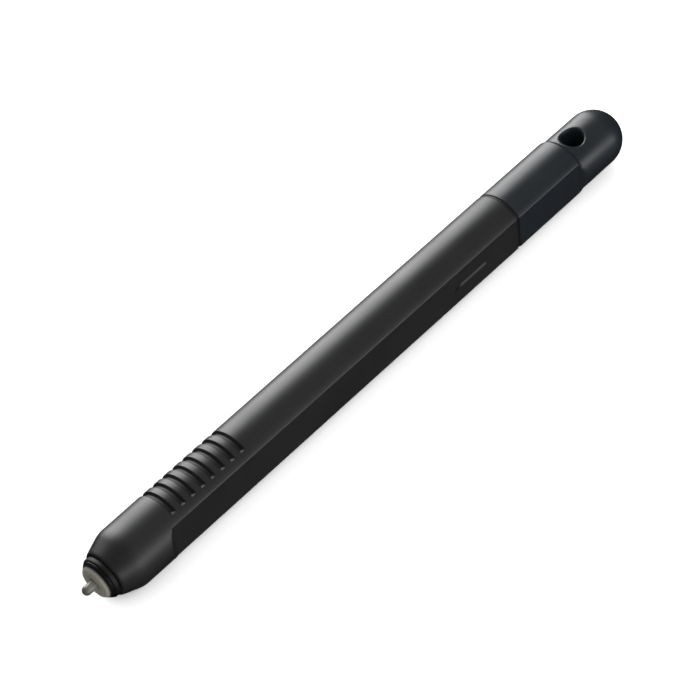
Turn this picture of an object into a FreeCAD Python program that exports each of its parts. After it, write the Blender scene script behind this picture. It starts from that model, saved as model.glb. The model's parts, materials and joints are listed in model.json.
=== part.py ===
import FreeCAD, Part
import math
import os
from types import SimpleNamespace

import Sketcher

# A passive digitizer stylus. While it is drawn, the pen's axis is X, the nib's tip is at x = 0 and
# the tail is at +X. The long flat faces -Y and the tether hole runs along Z. Every sub-part is then
# placed so that the origin is under the middle of the pen, at the height of its lowest line.

SIZES = {
    # outer form
    "body_radius": 5.25,
    "flat_distance": 4.0,  # from the axis to the flat
    "flat_ramp": 1.5,  # length over which the flat runs out
    "nib_reach": 2.3,  # nib standing out of the insert
    "insert_front_radius": 2.56,
    "insert_rear_radius": 3.5,
    "insert_cone_length": 1.1,
    "nose_ring_radius": 3.6,
    "nose_ring_length": 1.0,
    "nose_front_radius": 3.95,
    "nose_cone_length": 3.6,
    "round_grip_length": 7.4,  # from the nose cone to the full depth of the flat
    "barrel_length": 89.9,
    "groove_setback": 1.75,  # from the start of the flat to the middle of the first groove
    "groove_pitch": 2.12,
    "groove_width": 1.0,
    "groove_floor_width": 0.6,
    "groove_depth": 0.45,
    "groove_gap_angle": 57.3,  # from the flat's normal to each end of a groove, in degrees
    "groove_count": 8,
    "seam_length": 0.6,
    "seam_inset": 0.15,  # the ring stands back this much from the body
    "cap_flat_length": 14.9,
    "cap_bevel_length": 0.5,
    "cap_step": 0.3,  # the round end is this much slimmer than the body
    "cap_round_length": 8.4,  # from the end of the flat to the centre of the dome
    "tether_radius": 1.95,
    "tether_edge": 0.5,
    "tether_land": 0.25,  # from the bevel to the rounded rim of the hole
    "bar_length": 6.2,
    "bar_width": 0.7,
    "bar_depth": 0.2,
    "bar_setback": 7.8,  # from the bar to the seam
    "dot_radius": 0.5,
    "dot_gap": 1.1,  # from the bar to the middle of the dot
    # fits
    "bond_gap": 0.02,
    "slide_gap": 0.06,
    "loose_gap": 0.1,
    # bores
    "bore_radius": 3.2,
    "nose_bore_step": 0.45,  # the nose's bore is this much narrower
    "nose_bore_length": 5.2,
    "insert_relief": 0.5,  # room round the nib behind its guide
    "insert_guide_length": 3.0,
    # nib
    "nib_radius": 0.8,
    "nib_head_length": 14.0,
    "nib_neck_length": 0.5,
    "nib_shaft_radius": 0.5,
    "nib_grip_length": 3.75,  # nib inside the plunger
    "nib_travel": 0.35,
    # coil
    "buffer_length": 0.8,
    "core_radius": 2.1,
    "core_bore_gap": 0.15,  # from the nib to the core
    "core_length": 16.0,
    "coil_side_gap": 0.25,  # from the winding to the bore
    "coil_setback": 1.6,
    "coil_rear_gap": 1.0,  # from the winding to the chassis
    "lead_radius": 0.1,
    "lead_bend": 0.8,
    "lead_landing": 4.4,  # from the front of the board to the leads' joints
    # chassis
    "core_grip": 4.4,
    "web_length": 1.0,
    "web_bore_gap": 0.4,  # from the nib's shaft to the web
    "deck_level": 0.3,
    "chassis_end": 4.0,
    "peg_radius": 0.4,
    "peg_inset": 1.6,
    "peg_height": 0.3,
    # pressure sensor
    "plunger_lead": 1.2,  # plunger standing out in front of the sensor
    "plunger_radius": 1.15,
    "flange_length": 0.8,
    "stem_radius": 1.0,
    "stem_length": 2.9,
    "sensor_wall": 0.48,
    "sensor_front": 0.8,
    "chamber_radius": 1.75,
    "disc_seat": 0.22,  # width of the step that the disc rests on
    "pad_length": 2.1,
    "pad_plug_radius": 0.5,
    "pad_plug_length": 1.0,
    "pad_gap": 0.05,
    "disc_length": 0.4,
    "terminal_length": 2.3,
    "terminal_wall": 0.25,
    "sensor_rim": 0.3,
    "spring_wire_radius": 0.12,
    "spring_turns": 5,
    "leg_radius": 0.16,
    "leg_level": 1.3,
    "leg_spread": 0.9,
    "leg_bend": 0.4,
    "leg_landing": 1.9,
    # board
    "board_gap": 1.2,
    "board_rear_gap": 1.7,
    "board_inset": 0.5,  # from the chassis's side to the board's edge
    "board_thickness": 0.8,
    "joint_base_radius": 0.42,
    "joint_top_radius": 0.2,
    "joint_height": 0.3,
    "chip_length": 1.6,
    "chip_width": 0.8,
    "chip_height": 0.8,
    "chip_pitch": 1.5,
    "chip_setback": 6.0,  # from the front of the board
    "chip_count": 7,
    "trimmer_length": 3.0,
    "trimmer_width": 2.6,
    "trimmer_height": 0.7,
    "trimmer_gap": 0.6,  # from the last chip
    "rotor_radius": 1.0,
    "rotor_height": 0.4,
    "slot_width": 0.3,
    "slot_depth": 0.2,
    "control_length": 3.2,
    "control_height": 0.75,
    "control_setback": 3.8,  # from the rear of the board
    # rear joint
    "rear_buffer_length": 1.9,
    "rear_buffer_bore": 1.2,
    "sleeve_in_barrel": 6.5,
    "sleeve_in_cap": 11.5,
    "sleeve_wall": 0.94,
    "key_width": 1.2,
    "key_rise": 0.45,
    "key_length": 8.0,
    "key_gap": 0.05,
    "oring_radius": 0.2,
    "oring_setback": 1.9,  # from the sleeve's end to the O-ring
    "oring_groove_width": 0.46,
    "cap_bore_spare": 1.0,  # from the sleeve's end to the bottom of the cap's bore
    "cut_margin": 2.0,  # how far a cutting shape passes the surface it cuts
}


class Size:
    """A length known twice: as a number, and as the sheet expression that gives it."""

    def __init__(self, value, text):
        self.value = value
        self.text = text

    def __add__(self, other):
        other = as_size(other)
        return Size(self.value + other.value, f"({self.text} + {other.text})")

    def __sub__(self, other):
        other = as_size(other)
        return Size(self.value - other.value, f"({self.text} - {other.text})")

    def __mul__(self, other):
        other = as_size(other)
        return Size(self.value * other.value, f"({self.text} * {other.text})")

    def __truediv__(self, other):
        other = as_size(other)
        return Size(self.value / other.value, f"({self.text} / {other.text})")

    def __neg__(self):
        return Size(-self.value, f"(-{self.text})")


def as_size(number):
    return number if isinstance(number, Size) else Size(float(number), f"{float(number)}")


doc = FreeCAD.newDocument("DigitizerStylus")
sheet = doc.addObject("Spreadsheet::Sheet", "Dimensions")
for row, (alias, number) in enumerate(SIZES.items(), 1):
    sheet.set(f"A{row}", alias)
    sheet.set(f"B{row}", f"{number}")
    sheet.setAlias(f"B{row}", alias)
doc.recompute()
dim = SimpleNamespace()
for alias, number in SIZES.items():
    setattr(dim, alias, Size(float(number), f"Dimensions.{alias}"))
ZERO = as_size(0)
DIAGONAL = math.sqrt(0.5)  # share of a radius that a point at 45 degrees stands off each axis

# Stations along the axis, from the nib's tip to the tail.
insert_front = dim.nib_reach
ring_front = insert_front + dim.insert_cone_length
barrel_front = ring_front + dim.nose_ring_length
cone_end = barrel_front + dim.nose_cone_length
flat_start = cone_end + dim.round_grip_length
barrel_rear = barrel_front + dim.barrel_length
cap_front = barrel_rear + dim.seam_length
cap_flat_end = cap_front + dim.cap_flat_length
dome_centre = cap_flat_end + dim.cap_round_length
tether_place = cap_flat_end + dim.cap_bevel_length + dim.tether_land + dim.tether_edge + dim.tether_radius
cap_end_radius = dim.body_radius - dim.cap_step
tail_end = dome_centre + cap_end_radius

shoulder = barrel_front + dim.nose_bore_length
core_front = shoulder + dim.buffer_length
core_rear = core_front + dim.core_length
chassis_front = core_rear - dim.core_grip
coil_front = core_front + dim.coil_setback
coil_rear = chassis_front - dim.coil_rear_gap
bay_front = core_rear + dim.web_length

plunger_front = bay_front + dim.nib_travel
nib_rear = plunger_front + dim.nib_grip_length
socket_end = nib_rear + dim.bond_gap
sensor_front = plunger_front + dim.plunger_lead
chamber_front = sensor_front + dim.sensor_front
flange_front = chamber_front + dim.bond_gap
flange_rear = flange_front + dim.flange_length
stem_end = flange_rear + dim.stem_length
pad_end = stem_end + dim.pad_length
disc_front = pad_end + dim.nib_travel + dim.pad_gap
disc_rear = disc_front + dim.disc_length
terminal_rear = disc_rear + dim.terminal_length
sensor_rear = terminal_rear + dim.sensor_rim
bay_rear = sensor_rear + dim.bond_gap

sleeve_front = barrel_rear - dim.sleeve_in_barrel
sleeve_rear = cap_front + dim.sleeve_in_cap
chassis_rear = sleeve_front - dim.rear_buffer_length
deck_rear = chassis_rear - dim.chassis_end
board_front = bay_rear + dim.board_gap
board_rear = deck_rear - dim.board_rear_gap
chips_front = board_front + dim.chip_setback
chips_rear = chips_front + dim.chip_pitch * (dim.chip_count - 1) + dim.chip_width
cap_bore_end = sleeve_rear + dim.cap_bore_spare
oring_place = sleeve_rear - dim.oring_setback
bar_rear = barrel_rear - dim.bar_setback
bar_front = bar_rear - dim.bar_length

# Radii and levels that follow from what they fit.
nose_bore_radius = dim.bore_radius - dim.nose_bore_step
sleeve_radius = dim.bore_radius - dim.slide_gap
sleeve_bore_radius = sleeve_radius - dim.sleeve_wall
chassis_radius = dim.bore_radius - dim.loose_gap
core_bore_radius = dim.nib_radius + dim.core_bore_gap
coil_radius = dim.bore_radius - dim.coil_side_gap
flange_radius = dim.chamber_radius - dim.loose_gap
spring_radius = (dim.stem_radius + dim.chamber_radius) / 2
counterbore_radius = dim.chamber_radius + dim.disc_seat
sensor_radius = counterbore_radius + dim.sensor_wall
lead_offset = (sensor_radius + dim.bore_radius) / 2 * DIAGONAL  # the leads pass between sensor and barrel
board_width = (chassis_radius - dim.board_inset) * 2
board_face = dim.board_thickness - dim.deck_level  # from the axis, towards the flat


def new_body(label):
    """Starts a sub-part, placed in the pen's own frame."""
    body = doc.addObject("PartDesign::Body", label)
    body.Label = label
    body.AllowCompound = True
    place(body, -(tail_end / 2), dim.body_radius)
    return body


def place(item, along, height):
    item.setExpression("Placement.Base.x", along.text)
    item.setExpression("Placement.Base.z", height.text)


def origin_plane(body, role):
    return next(feature for feature in body.Origin.OriginFeatures if feature.Role == role)


def attached_sketch(body, role, name, offset=None):
    """Attaches an empty sketch to one of the body's origin planes, moved along its normal by offset."""
    sketch = body.newObject("Sketcher::SketchObject", name)
    sketch.AttachmentSupport = [(origin_plane(body, role), "")]
    sketch.MapMode = "FlatFace"
    if offset is not None:
        sketch.setExpression("AttachmentOffset.Base.z", offset.text)
    return sketch


def pin(sketch, geometry, vertex, corner, directions="XY"):
    """Holds a point of the sketch at a corner that the sheet gives."""
    for direction, size in zip("XY", corner):
        if direction not in directions:
            continue
        if size.value == 0:
            axis = -2 if direction == "X" else -1
            sketch.addConstraint(Sketcher.Constraint("PointOnObject", geometry, vertex, axis))
            continue
        ends = (-1, 1, geometry, vertex) if size.value > 0 else (geometry, vertex, -1, 1)
        text = size.text if size.value > 0 else f"-{size.text}"
        number = sketch.addConstraint(Sketcher.Constraint(f"Distance{direction}", *ends, abs(size.value)))
        sketch.setExpression(f"Constraints[{number}]", text)


def vector(corner):
    return FreeCAD.Vector(corner[0].value, corner[1].value, 0)


def round_segment(start, end, centre):
    """An arc from start to end the short way round, with the vertex numbers of its two ends."""
    first = math.atan2(start.y - centre.y, start.x - centre.x)
    last = math.atan2(end.y - centre.y, end.x - centre.x)
    turn = (last - first) % (2 * math.pi)
    circle = Part.Circle(centre, FreeCAD.Vector(0, 0, 1), start.distanceToPoint(centre))
    if turn < math.pi:
        return Part.ArcOfCircle(circle, first, first + turn), (1, 2)
    return Part.ArcOfCircle(circle, last, last + 2 * math.pi - turn), (2, 1)


def outline(body, role, name, corners, arcs=None, closed=True, offset=None):
    """Draws lines through the corners in order. arcs gives the centre of each segment that is round."""
    sketch = attached_sketch(body, role, name, offset)
    corners = [(as_size(along), as_size(across)) for along, across in corners]
    arcs = {number: (as_size(x), as_size(y)) for number, (x, y) in (arcs or {}).items()}
    count = len(corners) if closed else len(corners) - 1
    ends = []
    for number in range(count):
        start = vector(corners[number])
        end = vector(corners[(number + 1) % len(corners)])
        if number in arcs:
            segment, order = round_segment(start, end, vector(arcs[number]))
        else:
            segment, order = Part.LineSegment(start, end), (1, 2)
        sketch.addGeometry(segment)
        ends.append(order)
    for number in range(count if closed else count - 1):
        after = (number + 1) % count
        joined = (number, ends[number][1], after, ends[after][0])
        sketch.addConstraint(Sketcher.Constraint("Coincident", *joined))
    for number, corner in enumerate(corners):
        if number < count:
            pin(sketch, number, ends[number][0], corner)
        else:
            pin(sketch, number - 1, ends[number - 1][1], corner)
    for number, centre in arcs.items():
        pin(sketch, number, 3, centre, "Y")
    return sketch


def add_circle(sketch, centre, radius):
    number = sketch.addGeometry(Part.Circle(vector(centre), FreeCAD.Vector(0, 0, 1), radius.value))
    pin(sketch, number, 3, centre)
    limit = sketch.addConstraint(Sketcher.Constraint("Radius", number, radius.value))
    sketch.setExpression(f"Constraints[{limit}]", radius.text)


def add_rectangle(sketch, low, high):
    """Adds a rectangle between two corners."""
    first = sketch.GeometryCount
    corners = [low, (high[0], low[1]), high, (low[0], high[1])]
    for number in range(4):
        sketch.addGeometry(Part.LineSegment(vector(corners[number]), vector(corners[(number + 1) % 4])))
    for number in range(4):
        after = first + (number + 1) % 4
        sketch.addConstraint(Sketcher.Constraint("Coincident", first + number, 2, after, 1))
        pin(sketch, first + number, 1, corners[number])


def revolve(body, corners, arcs=None, name="Profile"):
    """Turns a half profile, drawn in the XY plane, around the pen's axis."""
    sketch = outline(body, "XY_Plane", name, corners, arcs)
    turned = body.newObject("PartDesign::Revolution", "Turned")
    turned.Profile = sketch
    turned.ReferenceAxis = (sketch, ["H_Axis"])
    turned.Angle = 360
    return turned


def pad(body, sketch, length, symmetric=False):
    raised = body.newObject("PartDesign::Pad", "Raised")
    raised.Profile = sketch
    raised.setExpression("Length", length.text)
    raised.SideType = "Symmetric" if symmetric else "One side"
    return raised


def pocket_through(body, sketch, width):
    """Cuts a sketch's area out of the body to both sides of the sketch's plane."""
    before = volume_now(body)
    cut = body.newObject("PartDesign::Pocket", "Cut")
    cut.Profile = sketch
    cut.SideType = "Symmetric"
    cut.setExpression("Length", width.text)
    check_cut(body, cut, before)
    return cut


def volume_now(body):
    doc.recompute()
    return body.Shape.Volume


def check_cut(body, cut, before):
    doc.recompute()
    if not cut.Shape.Volume < before:
        raise RuntimeError(f"{cut.Name} in {body.Label} cuts nothing")


def mirror(body, features):
    """Repeats features on the other side of the XY plane."""
    copy = body.newObject("PartDesign::Mirrored", "Mirrored")
    copy.Originals = features
    copy.MirrorPlane = (origin_plane(body, "XY_Plane"), [""])
    body.Tip = copy


def tube(label, front, rear, inner, outer):
    body = new_body(label)
    revolve(body, [(front, inner), (front, outer), (rear, outer), (rear, inner)])
    return body


def cut_flat(body, corners):
    """Removes what lies beyond the flat: the corners are its outline seen from the side."""
    sketch = outline(body, "XY_Plane", "FlatSide", corners)
    return pocket_through(body, sketch, dim.body_radius * 2 + dim.cut_margin)


def make_barrel():
    """Moulded barrel with nose cone, grip grooves, flat and the recess of the index bar."""
    body = new_body("main_barrel")
    revolve(body, [
        (barrel_front, nose_bore_radius),
        (barrel_front, dim.nose_front_radius),
        (cone_end, dim.body_radius),
        (barrel_rear, dim.body_radius),
        (barrel_rear, dim.bore_radius),
        (shoulder, dim.bore_radius),
        (shoulder, nose_bore_radius),
    ])
    cut_grip_grooves(body)
    outside = -(dim.body_radius + dim.cut_margin)
    ramp_reach = dim.flat_ramp * (dim.body_radius + dim.cut_margin - dim.flat_distance)
    ramp_rise = dim.body_radius - dim.flat_distance
    cut_flat(body, [
        (flat_start, -dim.flat_distance),
        (flat_start - ramp_reach / ramp_rise, outside),
        (barrel_rear + dim.cut_margin, outside),
        (barrel_rear + dim.cut_margin, -dim.flat_distance),
    ])
    recess = attached_sketch(body, "XY_Plane", "BarRecess")
    floor = dim.bar_depth - dim.flat_distance
    add_rectangle(recess, (bar_front, -dim.flat_distance - dim.bar_depth), (bar_rear, floor))
    pocket_through(body, recess, dim.bar_width)
    dot = body.newObject("PartDesign::SubtractiveCylinder", "Dot")
    dot.setExpression("Radius", dim.dot_radius.text)
    dot.setExpression("Height", (dim.bar_depth * 2).text)
    dot.Placement = FreeCAD.Placement(FreeCAD.Vector(), FreeCAD.Rotation(FreeCAD.Vector(1, 0, 0), 90))
    dot.setExpression("Placement.Base.x", (bar_front - dim.dot_gap).text)
    dot.setExpression("Placement.Base.y", floor.text)
    return body


def cut_grip_grooves(body):
    """Cuts the grooves round the side away from the flat, all alike and evenly spaced."""
    middle = flat_start + dim.groove_setback
    floor = dim.body_radius - dim.groove_depth
    clear = dim.body_radius + dim.groove_depth
    flare = (dim.groove_width - dim.groove_floor_width) / 2
    sketch = outline(body, "XY_Plane", "GrooveSection", [
        (middle - dim.groove_floor_width / 2, floor),
        (middle + dim.groove_floor_width / 2, floor),
        (middle + dim.groove_width / 2 + flare, clear),
        (middle - dim.groove_width / 2 - flare, clear),
    ])
    before = volume_now(body)
    groove = body.newObject("PartDesign::Groove", "GripGroove")
    groove.Profile = sketch
    groove.ReferenceAxis = (sketch, ["H_Axis"])
    groove.Midplane = True
    groove.setExpression("Angle", f"360 - 2 * {dim.groove_gap_angle.text}")
    check_cut(body, groove, before)
    row = body.newObject("PartDesign::LinearPattern", "GripGrooves")
    row.Originals = [groove]
    row.Direction = (sketch, ["H_Axis"])
    row.setExpression("Length", (dim.groove_pitch * (dim.groove_count - 1)).text)
    row.setExpression("Occurrences", dim.groove_count.text)
    body.Tip = row
    check_cut(body, row, groove.Shape.Volume)


def make_insert():
    """Pale cone that guides the nib, with a spigot bonded into the nose."""
    body = new_body("nose_insert")
    guide = dim.nib_radius + dim.slide_gap
    spigot = nose_bore_radius - dim.bond_gap
    guide_end = insert_front + dim.insert_guide_length
    relief = dim.nib_radius + dim.insert_relief
    rear = shoulder - dim.loose_gap
    revolve(body, [
        (insert_front, guide),
        (insert_front, dim.insert_front_radius),
        (ring_front, dim.insert_rear_radius),
        (ring_front, spigot),
        (rear, spigot),
        (rear, relief),
        (guide_end, relief),
        (guide_end, guide),
    ])
    return body


def make_nib():
    """Round-ended nib with a thin shaft that plugs into the plunger."""
    body = new_body("nib")
    neck = dim.nib_head_length + dim.nib_neck_length
    revolve(body, [
        (ZERO, ZERO),
        (dim.nib_radius, dim.nib_radius),
        (dim.nib_head_length, dim.nib_radius),
        (neck, dim.nib_shaft_radius),
        (nib_rear, dim.nib_shaft_radius),
        (nib_rear, ZERO),
    ], arcs={0: (dim.nib_radius, ZERO)})
    return body


def make_seam_ring():
    """Dark ring between barrel and cap, standing a little back from both."""
    outer = dim.body_radius - dim.seam_inset
    body = tube("seam_ring", barrel_rear, cap_front, sleeve_radius + dim.bond_gap, outer)
    outside = -(dim.body_radius + dim.cut_margin)
    level = dim.seam_inset - dim.flat_distance
    cut_flat(body, [
        (barrel_rear - dim.cut_margin, level),
        (barrel_rear - dim.cut_margin, outside),
        (cap_front + dim.cut_margin, outside),
        (cap_front + dim.cut_margin, level),
    ])
    return body


def make_cap():
    """Tail cap: flat, bevel down to a slimmer round end, dome and tether hole."""
    body = new_body("rear_cap")
    revolve(body, [
        (cap_front, dim.bore_radius),
        (cap_front, dim.body_radius),
        (cap_flat_end, dim.body_radius),
        (cap_flat_end + dim.cap_bevel_length, cap_end_radius),
        (dome_centre, cap_end_radius),
        (tail_end, ZERO),
        (cap_bore_end, ZERO),
        (cap_bore_end, dim.bore_radius),
    ], arcs={4: (dome_centre, ZERO)})
    outside = -(dim.body_radius + dim.cut_margin)
    ramp_reach = dim.flat_ramp * (dim.body_radius + dim.cut_margin - dim.flat_distance)
    ramp_rise = dim.body_radius - dim.flat_distance
    cut_flat(body, [
        (cap_front - dim.cut_margin, -dim.flat_distance),
        (cap_front - dim.cut_margin, outside),
        (cap_flat_end + ramp_reach / ramp_rise, outside),
        (cap_flat_end, -dim.flat_distance),
    ])
    keyway = attached_sketch(body, "XY_Plane", "Keyway")
    depth = dim.bore_radius + dim.key_rise
    keyway_end = cap_front + dim.key_length + dim.loose_gap
    add_rectangle(keyway, (cap_front - dim.cut_margin, ZERO), (keyway_end, depth))
    pocket_through(body, keyway, dim.key_width + dim.key_gap * 2)
    hole = attached_sketch(body, "XY_Plane", "TetherHole")
    add_circle(hole, (tether_place, ZERO), dim.tether_radius)
    drilled = pocket_through(body, hole, dim.body_radius * 2 + dim.cut_margin)
    round_hole_edges(body, drilled)
    return body


def round_hole_edges(body, drilled):
    """Rounds both rims of the tether hole."""
    reach = dim.tether_radius.value + dim.bond_gap.value
    rims = []
    for number, edge in enumerate(drilled.Shape.Edges, 1):
        box = edge.BoundBox
        beside = abs(box.Center.x - tether_place.value) < reach and box.YLength < 2 * reach
        at_rim = min(abs(box.ZMin), abs(box.ZMax)) > cap_end_radius.value / 2
        at_rim = at_rim and box.ZLength < cap_end_radius.value
        if beside and at_rim and box.XLength <= 2 * reach and box.XMax < dome_centre.value:
            rims.append(f"Edge{number}")
    rounded = body.newObject("PartDesign::Fillet", "RoundedRims")
    rounded.Base = (drilled, rims)
    rounded.setExpression("Radius", dim.tether_edge.text)
    check_cut(body, rounded, drilled.Shape.Volume)


def make_index_bar():
    """Plain bar inlaid flush in the flat."""
    body = new_body("index_bar")
    sketch = attached_sketch(body, "XY_Plane", "BarSide")
    floor = dim.bar_depth - dim.flat_distance
    low = (bar_front + dim.bond_gap, -dim.flat_distance)
    high = (bar_rear - dim.bond_gap, floor)
    add_rectangle(sketch, low, high)
    pad(body, sketch, dim.bar_width - dim.bond_gap * 2, symmetric=True)
    return body


def make_wire_pair(label, start, landing, level, spread, bend, radius):
    """Two wires that run along the pen and turn down onto the board's solder joints."""
    body = new_body(label)
    path = outline(body, "XY_Plane", "Route", [
        (start, -level),
        (landing - bend, -level),
        (landing, bend - level),
        (landing, -(board_face + dim.joint_height)),
    ], arcs={1: (landing - bend, bend - level)}, closed=False, offset=spread)
    section = attached_sketch(body, "YZ_Plane", "Section", offset=start)
    add_circle(section, (-level, spread), radius)
    wire = body.newObject("PartDesign::AdditivePipe", "Wire")
    wire.Profile = section
    wire.Spine = path
    mirror(body, [wire])
    return body


def make_chassis():
    """Moulded carrier: socket for the core, web, sensor bay, board deck and a solid tail."""
    body = new_body("chassis")
    socket = dim.core_radius + dim.bond_gap
    web_bore = dim.nib_shaft_radius + dim.web_bore_gap
    bay = sensor_radius + dim.bond_gap
    revolve(body, [
        (chassis_front, socket),
        (chassis_front, chassis_radius),
        (chassis_rear, chassis_radius),
        (chassis_rear, ZERO),
        (bay_rear, ZERO),
        (bay_rear, bay),
        (bay_front, bay),
        (bay_front, web_bore),
        (core_rear, web_bore),
        (core_rear, socket),
    ])
    outside = -(dim.bore_radius + dim.cut_margin)
    mouth = attached_sketch(body, "XY_Plane", "BayMouth")
    add_rectangle(mouth, (bay_front, outside), (bay_rear, ZERO))
    pocket_through(body, mouth, bay * 2)
    deck = attached_sketch(body, "XY_Plane", "Deck")
    add_rectangle(deck, (bay_rear, outside), (deck_rear, dim.deck_level))
    pocket_through(body, deck, dim.bore_radius * 2 + dim.cut_margin)
    half_slot = dim.lead_radius + dim.loose_gap
    slots = attached_sketch(body, "XZ_Plane", "LeadSlots", offset=lead_offset - half_slot)
    for side in (1, -1):
        middle = lead_offset * side
        low = (chassis_front - dim.cut_margin, middle - half_slot)
        add_rectangle(slots, low, (bay_front, middle + half_slot))
    before = volume_now(body)
    slotted = body.newObject("PartDesign::Pocket", "LeadSlotsCut")
    slotted.Profile = slots
    slotted.Reversed = True
    slotted.setExpression("Length", dim.cut_margin.text)
    check_cut(body, slotted, before)
    pegs = attached_sketch(body, "XZ_Plane", "Pegs")
    for along in (board_front + dim.peg_inset, board_rear - dim.peg_inset):
        add_circle(pegs, (along, ZERO), dim.peg_radius)
    pad(body, pegs, (board_face + dim.peg_height) * 2, symmetric=True)
    return body


def make_sensor_holder():
    """Housing of the pressure sensor, with a stop for the plunger and a seat for the disc."""
    body = new_body("sensor_holder")
    mouth = dim.plunger_radius + dim.slide_gap
    revolve(body, [
        (sensor_front, mouth),
        (sensor_front, sensor_radius),
        (sensor_rear, sensor_radius),
        (sensor_rear, counterbore_radius),
        (disc_front, counterbore_radius),
        (disc_front, dim.chamber_radius),
        (chamber_front, dim.chamber_radius),
        (chamber_front, mouth),
    ])
    return body


def make_nib_holder():
    """Plunger that grips the nib in front and carries the rubber pad behind."""
    body = new_body("nib_holder")
    grip = dim.nib_shaft_radius + dim.slide_gap / 2
    plug = dim.pad_plug_radius + dim.bond_gap
    plug_floor = stem_end - dim.pad_plug_length - dim.bond_gap
    revolve(body, [
        (plunger_front, grip),
        (plunger_front, dim.plunger_radius),
        (flange_front, dim.plunger_radius),
        (flange_front, flange_radius),
        (flange_rear, flange_radius),
        (flange_rear, dim.stem_radius),
        (stem_end, dim.stem_radius),
        (stem_end, plug),
        (plug_floor, plug),
        (plug_floor, ZERO),
        (socket_end, ZERO),
        (socket_end, grip),
    ])
    return body


def make_pad():
    """Conductive rubber dome with a plug that holds it in the plunger."""
    body = new_body("conductive_pad")
    dome_start = pad_end - dim.stem_radius
    revolve(body, [
        (stem_end - dim.pad_plug_length, ZERO),
        (stem_end - dim.pad_plug_length, dim.pad_plug_radius),
        (stem_end, dim.pad_plug_radius),
        (stem_end, dim.stem_radius),
        (dome_start, dim.stem_radius),
        (pad_end, ZERO),
    ], arcs={4: (dome_start, ZERO)})
    return body


def make_spring():
    """Coil spring between the plunger's flange and the disc."""
    body = new_body("return_spring")
    margin = dim.spring_wire_radius + dim.bond_gap
    section = attached_sketch(body, "XZ_Plane", "WireSection")
    add_circle(section, (flange_rear + margin, spring_radius), dim.spring_wire_radius)
    coils = body.newObject("PartDesign::AdditiveHelix", "Coils")
    coils.Profile = section
    coils.ReferenceAxis = (section, ["H_Axis"])
    coils.Mode = "height-turns-angle"
    coils.setExpression("Height", (disc_front - flange_rear - margin * 2).text)
    coils.setExpression("Turns", dim.spring_turns.text)
    coils.Angle = 0
    body.Tip = coils
    return body


def make_terminal():
    """Metal cup that presses the disc forward and takes the signal to the legs."""
    body = new_body("terminal_cap")
    outer = counterbore_radius - dim.bond_gap
    revolve(body, [
        (disc_rear, outer - dim.terminal_wall),
        (disc_rear, outer),
        (terminal_rear, outer),
        (terminal_rear, ZERO),
        (terminal_rear - dim.terminal_wall, ZERO),
        (terminal_rear - dim.terminal_wall, outer - dim.terminal_wall),
    ])
    return body


def make_board():
    """Circuit board with two peg holes."""
    body = new_body("circuit_board")
    sketch = attached_sketch(body, "XY_Plane", "BoardSide")
    add_rectangle(sketch, (board_front, -board_face), (board_rear, dim.deck_level))
    pad(body, sketch, board_width, symmetric=True)
    holes = attached_sketch(body, "XZ_Plane", "PegHoles")
    for along in (board_front + dim.peg_inset, board_rear - dim.peg_inset):
        add_circle(holes, (along, ZERO), dim.peg_radius + dim.loose_gap / 2)
    pocket_through(body, holes, dim.body_radius * 2)
    return body


def on_board(label, height, draw, level=board_face):
    """Raises what draw puts in a sketch from the board's face towards the flat."""
    body = new_body(label)
    sketch = attached_sketch(body, "XZ_Plane", "Footprint", offset=level)
    draw(sketch)
    return body, pad(body, sketch, height)


def add_block(sketch, middle, length, width):
    low = (middle - length / 2, -(width / 2))
    add_rectangle(sketch, low, (middle + length / 2, width / 2))


def make_chips():
    def draw(sketch):
        for number in range(int(dim.chip_count.value)):
            middle = chips_front + dim.chip_width / 2 + dim.chip_pitch * number
            add_block(sketch, middle, dim.chip_width, dim.chip_length)

    return on_board("chip_capacitors", dim.chip_height, draw)[0]


def make_trimmer():
    """Trimmer capacitor: a block with a round rotor that has a screwdriver slot."""
    middle = chips_rear + dim.trimmer_gap + dim.trimmer_length / 2
    body, _ = on_board("trimmer", dim.trimmer_height, lambda sketch: add_block(
        sketch, middle, dim.trimmer_length, dim.trimmer_width))
    top = board_face + dim.trimmer_height
    rotor = attached_sketch(body, "XZ_Plane", "Rotor", offset=top)
    add_circle(rotor, (middle, ZERO), dim.rotor_radius)
    pad(body, rotor, dim.rotor_height)
    slot = attached_sketch(body, "XY_Plane", "Slot")
    face = -(top + dim.rotor_height)
    low = (middle - dim.slot_width / 2, face - dim.slot_depth)
    add_rectangle(slot, low, (middle + dim.slot_width / 2, face + dim.slot_depth))
    pocket_through(body, slot, dim.rotor_radius * 2 + dim.cut_margin)
    return body


def make_control_chip():
    middle = board_rear - dim.control_setback
    return on_board("control_chip", dim.control_height, lambda sketch: add_block(
        sketch, middle, dim.control_length, dim.control_length))[0]


def make_solder_joints():
    """One cone of solder under the end of each wire."""
    body = new_body("solder_joints")
    joints = []
    for landing, spread in ((dim.lead_landing, lead_offset), (dim.leg_landing, dim.leg_spread)):
        along = board_front + landing
        sketch = outline(body, "XY_Plane", "JointSide", [
            (along, -board_face),
            (along + dim.joint_base_radius, -board_face),
            (along + dim.joint_top_radius, -(board_face + dim.joint_height)),
            (along, -(board_face + dim.joint_height)),
        ], offset=spread)
        cone = body.newObject("PartDesign::Revolution", "Joint")
        cone.Profile = sketch
        cone.ReferenceAxis = (sketch, ["Edge4"])
        cone.Angle = 360
        joints.append(cone)
    mirror(body, joints)
    return body


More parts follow.
